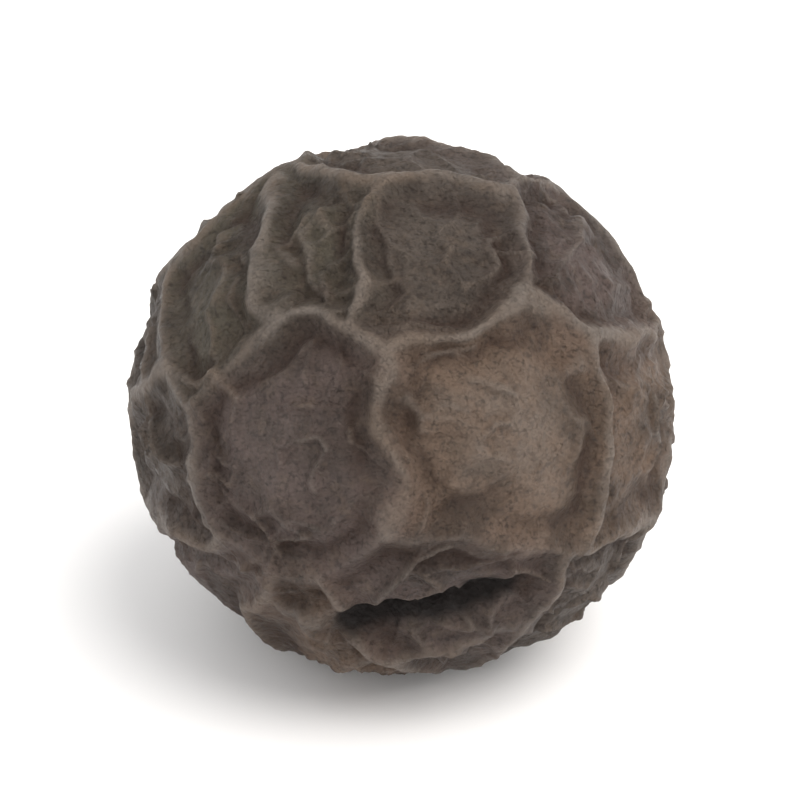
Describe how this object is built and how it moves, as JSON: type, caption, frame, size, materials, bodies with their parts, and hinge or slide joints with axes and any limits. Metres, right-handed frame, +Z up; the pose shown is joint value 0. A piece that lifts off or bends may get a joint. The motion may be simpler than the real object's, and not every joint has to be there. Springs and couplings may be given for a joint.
{
  "type": "black peppercorn",
  "caption": "Whole dried pepper berry, near round, with a raised net of wrinkles over dark dished skin, lying on a small flat spot.",
  "frame": {"origin": "middle of the base, at the height of the flat spot that the berry rests on", "axes": "+Z up, -Y towards the front that the picture shows; the scar where the berry sat on its spike is towards -X and a little back, and the tip is towards +X"},
  "size_m": [0.0048, 0.0048, 0.0045],
  "materials": {
    "dried_skin": "dry wrinkled plant skin, dark grey brown, matte to faintly silky, paler along the worn ridges"
  },
  "bodies": {
    "root": {"peppercorn": "dried_skin"}
  },
  "joints": []
}
